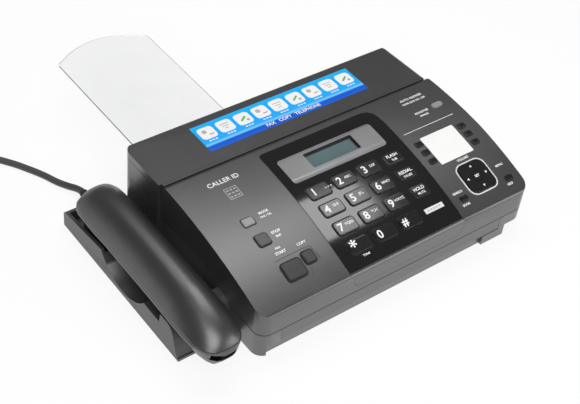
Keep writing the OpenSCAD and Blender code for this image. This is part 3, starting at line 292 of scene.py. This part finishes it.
# ---- Printed legends ----
# White ink is pad-printed on the key caps and the casing, as a film a few hundredths of a
# millimetre thick: digits and letters on the dial keys, plain words and signs on the others.
ink_white = surface("ink_white", (0.86, 0.86, 0.86), 0.5, grain=0.0003, relief=0.000002, vary=0.02)
ink_grey = surface("ink_grey", (0.42, 0.42, 0.42), 0.5, grain=0.0003, relief=0.000002, vary=0.03)
film_t = 0.00003


def on_panel(x, y, up=0.0):
    """The plane that lies on the panel's arch at x, y, or up above it."""
    lean = math.asin(max(crest_y - y, 0) / curve_r)
    rise = crest_z - curve_r * (1 - math.cos(lean))
    return Matrix.Translation((x, y, rise)) @ Matrix.Rotation(lean, 4, "X") @ Matrix.Translation((0, 0, up))


def lettering(film, words, where, size, weight=0.0):
    """Adds words to a film, centred on the plane of where."""
    curve = bpy.data.curves.new("lettering", "FONT")
    curve.body, curve.size, curve.offset, curve.extrude = words, size, weight, 0.00002
    curve.align_x = curve.align_y = "CENTER"
    curve.resolution_u = 4
    holder = bpy.data.objects.new("lettering", curve)
    bpy.context.collection.objects.link(holder)
    mesh = bpy.data.meshes.new_from_object(holder.evaluated_get(bpy.context.evaluated_depsgraph_get()))
    mesh.transform(where)
    film.from_mesh(mesh)
    bpy.data.objects.remove(holder)


def plate(film, where, width, depth, corner, thick, line=0.0, sides=4):
    """Adds a round-cornered plate, or with line its border alone, on the plane of where."""
    made = bmesh.ops.create_grid(film, x_segments=1, y_segments=1, size=0.5,
                                 matrix=where @ Matrix.Diagonal((width, depth, 1, 1)))
    flat = [f for v in made["verts"] for f in v.link_faces][0]
    if corner:
        bent = bmesh.ops.bevel(film, geom=made["verts"], offset=corner, offset_type="OFFSET", segments=sides,
                               profile=0.5, affect="VERTICES", material=-1)
        flat = [f for f in bent["verts"][0].link_faces][0]
    keep = [flat]
    if line:
        keep = bmesh.ops.inset_region(film, faces=[flat], thickness=line, use_even_offset=True,
                                      use_boundary=True)["faces"]
        bmesh.ops.delete(film, geom=[flat], context="FACES_ONLY")
    grown = bmesh.ops.extrude_face_region(film, geom=keep)
    bmesh.ops.translate(film, verts=[v for v in grown["geom"] if isinstance(v, bmesh.types.BMVert)],
                        vec=where.to_3x3() @ Vector((0, 0, thick)))


def disc(film, where, radius, thick, sides=24):
    """Adds a round dot to a film."""
    bmesh.ops.create_cone(film, cap_ends=True, segments=sides, radius1=radius, radius2=radius, depth=thick,
                          matrix=where @ Matrix.Translation((0, 0, thick / 2)))


def printed(name, film, body, material, slot="card"):
    """Makes a finished film a piece that rides on the given body."""
    bmesh.ops.recalc_face_normals(film, faces=film.faces)
    mesh = bpy.data.meshes.new(name)
    film.to_mesh(mesh)
    film.free()
    piece = bpy.data.objects.new(name, mesh)
    bpy.context.collection.objects.link(piece)
    return put(piece, body, slot=slot, material=material)


dial_legends = [("1", "", "key_1"), ("2", "ABC", "key_2"), ("3", "DEF", "key_3"), ("4", "GHI", "key_4"),
                ("5", "JKL", "key_5"), ("6", "MNO", "key_6"), ("7", "PQRS", "key_7"), ("8", "TUV", "key_8"),
                ("9", "WXYZ", "key_9"), ("*", "", "key_star"), ("0", "", "key_0"), ("#", "", "key_hash")]
key_top = 0.00142
dial_x, dial_y = -0.0072, -0.1043
dial_pitch_x, dial_pitch_y = 0.0277, 0.0192
for i, (digit, letters, node) in enumerate(dial_legends):
    cap_top = on_panel(dial_x + dial_pitch_x * (i % 3), dial_y - dial_pitch_y * (i // 3), key_top)
    film = bmesh.new()
    lettering(film, digit, cap_top @ Matrix.Translation((-0.0052, 0, 0)), 0.0105 if digit != "*" else 0.016,
              0.00022)
    if letters:
        lettering(film, letters, cap_top @ Matrix.Translation((0.0042, 0.0012, 0)), 0.0036, 0.00005)
    printed(node + "_print", film, node + "_cap", ink_white)
function_x = 0.0755
for i, (words, below) in enumerate((("FLASH", "SUB"), ("REDIAL", "PAUSE"), ("HOLD", "MUTE"))):
    film = bmesh.new()
    lettering(film, words, on_panel(function_x, -0.1022 - dial_pitch_y * i, key_top), 0.0044, 0.0001)
    lettering(film, below, on_panel(function_x, -0.1066 - dial_pitch_y * i, key_top), 0.0032, 0.00006)
    printed(f"function_key_{i + 1}_print", film, f"function_key_{i + 1}_cap", ink_white)

# Words and signs beside the other keys, printed on the casing
film = bmesh.new()
for words, x, y, size in (("MODE", -0.0625, -0.1005, 0.0034), ("FAX / TEL", -0.0625, -0.1045, 0.0026),
                          ("STOP", -0.0645, -0.1212, 0.0036), ("END", -0.0645, -0.1254, 0.0026),
                          ("FAX", -0.0722, -0.1348, 0.0026), ("START", -0.0722, -0.1392, 0.0036),
                          ("COPY", -0.0516, -0.1395, 0.0034), ("CALLER ID", -0.0730, -0.0570, 0.0066),
                          ("VOLUME", 0.1355, -0.1325, 0.0034), ("MENU", 0.1636, -0.1520, 0.0032),
                          ("HELP", 0.1613, -0.1712, 0.0030), ("SEARCH", 0.1073, -0.1583, 0.0030),
                          ("BOOK", 0.1080, -0.1708, 0.0030), ("MONITOR", 0.1370, -0.0722, 0.0034),
                          ("SPEAKER", 0.1370, -0.0764, 0.0026), ("AUTO ANSWER", 0.1400, -0.0530, 0.0036),
                          ("PAPER SAVE ON / OFF", 0.1400, -0.0577, 0.0028),
                          ("TONE", -0.0060, -0.1710, 0.0026)):
    lettering(film, words, on_panel(x, y), size, 0.00008)
plate(film, on_panel(0.1325, -0.0876), 0.060, 0.0005, 0, film_t)
printed("casing_print", film, "operation_panel", ink_white)

# Set key, the four arrows of the navigation pad and the bright ring round it
pad_x, pad_y = 0.1355, -0.1525
pad_top = on_panel(pad_x, pad_y, key_top)
film = bmesh.new()
lettering(film, "SET", pad_top, 0.0034, 0.0001)
printed("set_key_print", film, "set_key_cap", ink_white)
film = bmesh.new()
for turn in range(4):
    where = pad_top @ Matrix.Rotation(turn * math.pi / 2, 4, "Z")
    bmesh.ops.create_cone(film, cap_ends=True, segments=3, radius1=0.0015, radius2=0.0015, depth=film_t,
                          matrix=where @ Matrix.Translation((0, 0.0105, 0)))
printed("navigation_print", film, "navigation_pad_cap", ink_white)
film = bmesh.new()
plate(film, on_panel(pad_x, pad_y, -0.0003), 0.0335, 0.0335, 0.0085, 0.0009, line=0.0011, sides=6)
bright_paint = surface("bright_paint", (0.72, 0.72, 0.73), 0.35, grain=0.0003, relief=0.000002, vary=0.02)
printed("pad_ring", film, "operation_panel", bright_paint, slot="silver")

# A small bright tag on the gloss panel, with plain grey marks
tag_y = -0.1613
tag_up = 0.00002
tag_t = 0.0004
film = bmesh.new()
plate(film, on_panel(0.077, tag_y, tag_up), 0.0205, 0.0048, 0.0003, tag_t)
printed("silver_tag", film, "operation_panel", bright_paint, slot="silver")
film = bmesh.new()
for bar in range(5):
    plate(film, on_panel(0.0705 + 0.0032 * bar, tag_y, tag_up + tag_t), 0.002, 0.0016, 0.0003, film_t)
printed("tag_marks", film, "operation_panel", ink_grey)

# A square sign of small bars under the caller's label, and three dots on the first dial key
sign_x, sign_y, sign_pitch = -0.0730, -0.0720, 0.0036
film = bmesh.new()
plate(film, on_panel(sign_x, sign_y), 0.0125, 0.0125, 0, film_t, line=0.0006)
for i in range(9):
    where = on_panel(sign_x + sign_pitch * (i % 3 - 1), sign_y - sign_pitch * (i // 3 - 1))
    plate(film, where, 0.0022 + 0.0003 * (i % 2), 0.0014, 0, film_t)
for i in range(3):
    plate(film, on_panel(0.0028 * i, dial_y, key_top), 0.0018, 0.0018, 0.0008, film_t)
printed("panel_signs", film, "operation_panel", ink_grey)

# Shadow lines: black film, painted shade, lies round the wells of the keys and along the sides of the
# gloss panel where their gaps fall dark. Each free key has its place, width, depth and corner radius here.
painted_shade_black = surface("painted_shade_black", (0.004, 0.004, 0.004), 0.5)
free_keys = [(-0.080, -0.1036, 0.0105, 0.0075, 0.0012), (-0.0792, -0.1234, 0.0115, 0.011, 0.002),
             (-0.0712, -0.1566, 0.0186, 0.016, 0.0025), (-0.0531, -0.1523, 0.0102, 0.011, 0.002)]
line_t = 0.00004
line_up = 0.00001
film = bmesh.new()
for x, y, wide, deep, corner in free_keys:
    plate(film, on_panel(x, y, line_up), wide + 0.0022, deep + 0.0022, corner + 0.001, line_t, line=0.0009)
for i in range(15):
    on_dial = i < 12
    x = dial_x + dial_pitch_x * (i % 3) if on_dial else function_x
    y = dial_y - dial_pitch_y * (i // 3 if on_dial else i - 12)
    wide, deep = (0.0215, 0.0129) if on_dial else (0.018, 0.011)
    plate(film, on_panel(x, y, line_up), wide + 0.0018, deep + 0.0018, 0.0033, line_t, line=0.0007)
for side in (-0.0303, 0.0963):
    for i in range(22):
        plate(film, on_panel(side, -0.0665 - 0.005 * i), 0.0006, 0.0052, 0, line_t)
printed("key_well_shade", film, "operation_panel", painted_shade_black)

# The joint between panel and base is painted as a black line of shade round the front: an upright edge is
# drawn along the left side, round both corners and back along the right side.
join_z, join_h, join_back = 0.026, 0.0006, -0.10
join_corner = 0.011
join_proud = 0.0001
side_left, side_right, side_front = -0.12 - join_proud, 0.177 + join_proud, -0.182 - join_proud
corner_left, corner_right = -0.12 + join_corner, 0.177 - join_corner
corner_y = -0.182 + join_corner
film = bmesh.new()
ends = [film.verts.new((side_left, join_back, join_z + up * join_h)) for up in (-0.5, 0.5)]
drawn = ends + [film.edges.new(ends)]


def draw_on(drawn, x, y):
    """Extrudes the upright edge to x, y and gives back its new end."""
    edge = [part for part in drawn if isinstance(part, bmesh.types.BMEdge)]
    grown = bmesh.ops.extrude_edge_only(film, edges=edge)["geom"]
    moved = [part for part in grown if isinstance(part, bmesh.types.BMVert)]
    bmesh.ops.translate(film, verts=moved, vec=Vector((x, y, 0)) - Vector((moved[0].co.x, moved[0].co.y, 0)))
    return moved + [e for e in moved[0].link_edges if e.other_vert(moved[0]) is moved[1]]


def draw_round(drawn, x, y):
    """Turns the upright edge a quarter round a corner's centre and gives back its new end."""
    return bmesh.ops.spin(film, geom=drawn, cent=(x, y, 0), axis=(0, 0, 1), dvec=(0, 0, 0),
                          angle=math.pi / 2, steps=12, use_merge=False)["geom_last"]


drawn = draw_on(drawn, side_left, corner_y)
drawn = draw_round(drawn, corner_left, corner_y)
drawn = draw_on(drawn, corner_right, side_front)
drawn = draw_round(drawn, corner_right, corner_y)
draw_on(drawn, side_right, join_back)
printed("front_join_shade", film, "base", painted_shade_black)

# The display lies deep behind its window; black film at the top and at both sides is painted shade of the
# recess
window_at = on_panel(0.0315, -0.073)
into_window = window_at.inverted()
glass_up = max((into_window @ v.co).z for v in frame["nodes"]["display_module"].data.vertices)
recess_shade_bars = ((0, 0.0074, 0.052, 0.0024), (0.0253, -0.0012, 0.0018, 0.0148),
              (-0.0257, -0.0012, 0.001, 0.0148))
film = bmesh.new()
for x, y, wide, deep in recess_shade_bars:
    plate(film, window_at @ Matrix.Translation((x, y, glass_up)), wide, deep, 0, line_t)
printed("display_recess_shade", film, "operation_panel", painted_shade_black)

# ---- Top sticker ----
# A thin blue film is stuck on top of the roll cover. It is printed with a dark band in front, a
# light streak behind it, and a row of nine white tiles, each with a simple sign of its own.
sticker_at = Matrix.Translation((0.0264, -0.0051, 0.077))
sticker_t = 0.00012
film = bmesh.new()
plate(film, sticker_at, 0.1755, 0.0345, 0, sticker_t)
sticker_blue = surface("sticker_blue", (0.0, 0.3, 0.85), 0.25, grain=0.004, relief=0.000002)
tree = sticker_blue.node_tree
place = tree.nodes.new("ShaderNodeTexCoord")
split = tree.nodes.new("ShaderNodeSeparateXYZ")
tree.links.new(place.outputs["Object"], split.inputs["Vector"])
span = tree.nodes.new("ShaderNodeMapRange")
span.inputs["From Min"].default_value = -0.0224
span.inputs["From Max"].default_value = 0.0122
tree.links.new(split.outputs["Y"], span.inputs["Value"])
fade = tree.nodes.new("ShaderNodeValToRGB")
stops = fade.color_ramp.elements
stops[0].position, stops[0].color = 0.0, (0.01, 0.12, 0.62, 1)
stops[1].position, stops[1].color = 0.17, (0.004, 0.10, 0.66, 1)
for position, colour in ((0.22, (0.20, 0.62, 0.95, 1)), (0.3, (0.02, 0.40, 0.93, 1)),
                         (0.85, (0.004, 0.42, 0.95, 1)), (1.0, (0.015, 0.46, 0.95, 1))):
    stops.new(position).color = colour
tree.links.new(span.outputs["Result"], fade.inputs["Fac"])
tree.links.new(fade.outputs["Color"], tree.nodes["Principled BSDF"].inputs["Base Color"])
printed("top_sticker", film, "roll_cover", sticker_blue)
tile_w, tile_d, tile_corner = 0.0155, 0.0152, 0.0035
tile_pitch = 0.0192
tile_y = 0.0052
tile_t = 0.00004
film = bmesh.new()
signs = {"grey": bmesh.new(), "red": bmesh.new(), "green": bmesh.new()}
for i in range(9):
    tile = sticker_at @ Matrix.Translation((tile_pitch * (i - 4), tile_y, sticker_t))
    plate(film, tile, tile_w, tile_d, tile_corner, tile_t)
    for bar in range(3):
        below = tile @ Matrix.Translation((0.0032 * (bar - 1), -0.0102, 0))
        plate(film, below, 0.0022, 0.0013, 0, tile_t)
    top = tile @ Matrix.Translation((0, 0, tile_t))
    if i % 3 == 0:
        disc(signs["grey"], top @ Matrix.Translation((-0.002, 0.002, 0)), 0.0024, film_t)
        plate(signs["red"], top @ Matrix.Translation((0.003, -0.003, 0)), 0.005, 0.0011, 0.0004, film_t)
    elif i % 3 == 1:
        for row in range(3):
            line_at = top @ Matrix.Translation((0, 0.003 - 0.003 * row, 0))
            plate(signs["grey"], line_at, 0.009 - 0.0025 * row, 0.0009, 0.0003, film_t)
    else:
        plate(signs["green"], top @ Matrix.Rotation(0.6, 4, "Z"), 0.008, 0.0019, 0.0008, film_t)
        disc(signs["grey"], top @ Matrix.Translation((0.0035, -0.003, 0)), 0.0016, film_t)
band_at = sticker_at @ Matrix.Translation((0.004, -0.0132, sticker_t))
lettering(film, "FAX   COPY   TELEPHONE", band_at, 0.0052, 0.00012)
printed("sticker_tiles", film, "roll_cover", ink_white)
printed("sticker_signs_grey", signs["grey"], "roll_cover", ink_grey)
printed("sticker_signs_red", signs["red"], "roll_cover", surface("ink_red", (0.6, 0.12, 0.08), 0.5))
printed("sticker_signs_green", signs["green"], "roll_cover", surface("ink_green", (0.12, 0.42, 0.12), 0.5))

# ---- Handset ----
# Two shells in fine-grained black ABS meet at a straight lip that runs all round. Painted shadow darkens
# the lower shell's edge at the lip and a thin line on the upper shell just above it. The lower shell carries
# the two cups, and the jack opens at its nose, with a patch of painted shade over its opening. The imported
# solids meet higher up, so they are drawn down to that lip here.
handset_abs = surface("handset_abs", (0.02, 0.02, 0.0205), 0.36, grain=0.0004, relief=0.00001, IOR=1.6,
                      Specular_IOR_Level=1.0)
inner_black = surface("inner_black", (0.012, 0.012, 0.012), 0.5)
join_shadow = surface("join_shadow", (0.003, 0.003, 0.003), 0.7, Specular_IOR_Level=0.0)
handset_x, nose_y, handset_l = -0.154, -0.187, 205
rest_h, lip_z = 0.032, 0.0385
rim_h = 0.0025
cup_taper, cup_h = 0.4, 0.022
# Sections along the handset, in millimetres from the nose: place, then the heights of the crown,
# of the shells' join and of the underside over the rest, and how much the section is widened
stations = [(0, 6, 4, 2, 1), (3, 12, 4.8, -5, 1), (8, 17, 5.5, -12, 1), (13, 20, 6.2, -15, 1),
            (20, 23.5, 7.2, -15, 1), (35, 28, 9.3, -15, 1), (43, 30, 10.3, -14.5, 1),
            (46, 30.8, 10.8, -7.5, 1), (49, 31.4, 11.2, -2.6, 1), (52, 32, 11.7, -0.2, 1),
            (56, 32.6, 12.3, 0.3, 1), (85, 34.5, 14.3, 0.3, 1), (115, 35, 15, 0.3, 1),
            (150, 34.6, 15, 0.3, 1), (156, 34.3, 14.8, -0.8, 1), (162, 33.8, 14.5, -5, 1),
            (166, 33.4, 14.3, -9.3, 1), (172, 32.8, 14, -10, 1), (182, 31, 13.5, -10, 1),
            (190, 28.5, 13, -10, 1.08), (197, 24.5, 12.3, -9, 1.22), (202, 19, 11.6, -5, 1.5),
            (205, 14, 11, 8, 2.2)]


def shaped(piece):
    """Draws the join of the shells down to one straight lip, domes the upper shell above an
    upright rim, and tapers the cups below it."""
    for vertex in piece.data.vertices:
        x, y, z = vertex.co
        along = min(max((y - nose_y) * 1000, 0), handset_l)
        for near, far in zip(stations, stations[1:]):
            if along <= far[0]:
                break
        part = (along - near[0]) / (far[0] - near[0])
        top, seam, bottom = (rest_h + (near[k] + (far[k] - near[k]) * part) / 1000 for k in (1, 2, 3))
        wide = near[4] + (far[4] - near[4]) * part
        lip = min(max(lip_z, bottom + 0.001), top - 0.0015)
        if z >= seam:
            rise = (z - seam) / (top - seam)
            rim = min(rim_h, 0.4 * (top - lip))
            dome = 1 - max(0, 1 - rise ** 2.56) ** 0.86
            z = lip + rim * min(1, rise / 0.12) + (top - lip - rim) * dome
        else:
            depth = (seam - z) / (seam - bottom)
            z = lip - depth * (lip - bottom)
            wide *= 1 - cup_taper * min(1, (lip - bottom) / cup_h) * depth
        vertex.co = (handset_x + (x - handset_x) * wide, y, z)
    return piece


def cut_shell(shape, place, towards):
    """Cuts the faces of a shell along a plane and gives back the new edges."""
    cut = bmesh.ops.bisect_plane(shape, geom=shape.verts[:] + shape.edges[:] + shape.faces[:], dist=0.000001,
                                 plane_co=place, plane_no=towards)
    return [part for part in cut["geom_cut"] if isinstance(part, bmesh.types.BMEdge)]


# Bounds of the patch of painted shade that stands for the jack's dark opening
jack_low, jack_deep = 0.0305, 0.013
jack_left, jack_right = -0.0135, 0.0075


def shadowed(piece, low, high, jack=False):
    """Finishes a shell: the band from low to high is painted shadow of the join, and with jack a patch of
    painted shade covers the jack.
    """
    piece.data.materials.append(join_shadow)
    shape = bmesh.new()
    shape.from_mesh(piece.data)
    for level in (low, high, jack_low) if jack else (low, high):
        for edge in cut_shell(shape, (0, 0, level), (0, 0, 1)):
            edge.smooth = False
    if jack:
        cut_shell(shape, (handset_x + jack_left, 0, 0), (1, 0, 0))
        cut_shell(shape, (handset_x + jack_right, 0, 0), (1, 0, 0))
    for face in shape.faces:
        x, y, z = face.calc_center_median()
        in_jack = jack_left < x - handset_x < jack_right and y < nose_y + jack_deep and z > jack_low
        if low < z < high or (jack and in_jack):
            face.material_index = 1
    shape.to_mesh(piece.data)
    shape.free()


upper_shell = shaped(finished("handset_back", handset_abs, "handset", edge=0.0004, sharp=40))
shadowed(upper_shell, lip_z + 0.0023, lip_z + 0.0028)
lower_shell = shaped(finished("handset_face", handset_abs, "handset", edge=0.0003, sharp=40))
shadowed(lower_shell, lip_z - 0.0006, lip_z + 0.001, jack=True)
shaped(finished("handset_caps", inner_black, "inner_plastic"))
finished("hook_plunger", inner_black, "inner_plastic")

# ---- Inside ----
# Under the covers: the paper roll in its well, the rubber platen and feed roller with their
# nylon gear and brass pinion, the stepper motor, the print head on its aluminium plate, the
# image sensor bar, and two circuit boards in green lacquer.
thermal_paper = surface("thermal_paper", (0.82, 0.82, 0.8), 0.5, vary=0.02)
roller_rubber = surface("roller_rubber", (0.03, 0.03, 0.032), 0.7)
nylon = surface("nylon", (0.75, 0.74, 0.7), 0.45)
brass_metal = surface("brass_metal", (0.6, 0.42, 0.16), 0.3, Metallic=1.0)
steel_metal = surface("steel_metal", (0.5, 0.5, 0.52), 0.35, Metallic=1.0)
alloy = surface("alloy", (0.6, 0.6, 0.62), 0.4, Metallic=1.0)
circuit_lacquer = surface("circuit_lacquer", (0.02, 0.12, 0.05), 0.3)
finished("paper_roll", thermal_paper, "paper", edge=0.0002)
finished("platen_roller", roller_rubber, "roller")
finished("feed_roller", roller_rubber, "roller", edge=0)
finished("platen_gear", nylon, "gear_white", edge=0)
finished("motor_pinion", brass_metal, "brass", edge=0)
finished("drive_motor", steel_metal, "steel")
finished("thermal_head", alloy, "aluminium")
finished("image_sensor", inner_black, "inner_plastic")
finished("main_board", circuit_lacquer, "board")
finished("panel_board", circuit_lacquer, "board")

# ---- Paper tray ----
# A sheet of clear plastic with a bowed far end, pushed by its two tongues into pockets in the
# back of the base.
clear_plastic = surface("clear_plastic", (0.985, 0.99, 0.99), 0.02, grain=0.003, relief=0.000001,
                        vary=0.01, Transmission_Weight=1.0, IOR=1.45)
finished("paper_tray", clear_plastic, "clear", edge=0.0003)

# ---- Stage ----
# White paper sweep under and behind the machine. It glows a little to the camera and in
# reflections, so shadows on it stay pale.
sweep_glow = 0.85
sky_strength = 0.16
paper_sweep = bpy.data.materials.new("paper_sweep")
paper_sweep.use_nodes = True
tree = paper_sweep.node_tree
shader = tree.nodes["Principled BSDF"]
shader.inputs["Base Color"].default_value = (0.97, 0.97, 0.97, 1)
shader.inputs["Roughness"].default_value = 0.9
shader.inputs["Specular IOR Level"].default_value = 0.0
seen = tree.nodes.new("ShaderNodeLightPath")
direct = tree.nodes.new("ShaderNodeMath")
direct.operation = "MAXIMUM"
tree.links.new(seen.outputs["Is Camera Ray"], direct.inputs[0])
tree.links.new(seen.outputs["Is Glossy Ray"], direct.inputs[1])
through = tree.nodes.new("ShaderNodeMath")
through.operation = "MAXIMUM"
tree.links.new(direct.outputs["Value"], through.inputs[0])
tree.links.new(seen.outputs["Is Transmission Ray"], through.inputs[1])
share = tree.nodes.new("ShaderNodeMath")
share.operation = "MULTIPLY"
share.inputs[1].default_value = sweep_glow
tree.links.new(through.outputs["Value"], share.inputs[0])
white = tree.nodes.new("ShaderNodeEmission")
white.inputs["Strength"].default_value = 1.0
blend = tree.nodes.new("ShaderNodeMixShader")
tree.links.new(share.outputs["Value"], blend.inputs["Fac"])
tree.links.new(shader.outputs["BSDF"], blend.inputs[1])
tree.links.new(white.outputs["Emission"], blend.inputs[2])
tree.links.new(blend.outputs["Shader"], tree.nodes["Material Output"].inputs["Surface"])
shape = bmesh.new()
bmesh.ops.create_grid(shape, x_segments=1, y_segments=1, size=6)
floor = bpy.data.objects.new("floor", bpy.data.meshes.new("floor"))
shape.to_mesh(floor.data)
shape.free()
floor.data.materials.append(paper_sweep)
bpy.context.collection.objects.link(floor)

world = bpy.data.worlds.new("studio")
bpy.context.scene.world = world
world.use_nodes = True
sky = world.node_tree.nodes["Background"]
sky.inputs["Color"].default_value = (1, 1, 1, 1)
sky.inputs["Strength"].default_value = sky_strength


def lamp(name, place, aim, wide, deep, power):
    """A soft box of the given size, hung at place and turned to aim."""
    light = bpy.data.lights.new(name, "AREA")
    light.shape = "RECTANGLE"
    light.size, light.size_y = wide, deep
    light.energy = power
    stand = bpy.data.objects.new(name, light)
    stand.location = place
    stand.rotation_euler = (Vector(aim) - Vector(place)).to_track_quat("-Z", "Y").to_euler()
    bpy.context.collection.objects.link(stand)


# A broad key light stands behind the camera and a low one lights the front. A box overhead gives
# the sheen on the left of the panel, and one further back draws the handset's crest.
lamp("key_light", (-0.9, -1.4, 1.7), (0, 0, 0), 1.8, 1.8, 38)
lamp("front_light", (1.1, -1.5, 0.5), (0.05, 0, 0), 1.2, 0.8, 9)
lamp("overhead_box", (0.235, 0.04, 1.0), (0.235, 0.04, 0), 0.82, 0.28, 3.0)
lamp("rear_box", (-0.08, 0.4, 1.0), (-0.08, 0.4, 0), 0.95, 0.35, 2.0)
bpy.context.scene.view_settings.view_transform = "Standard"
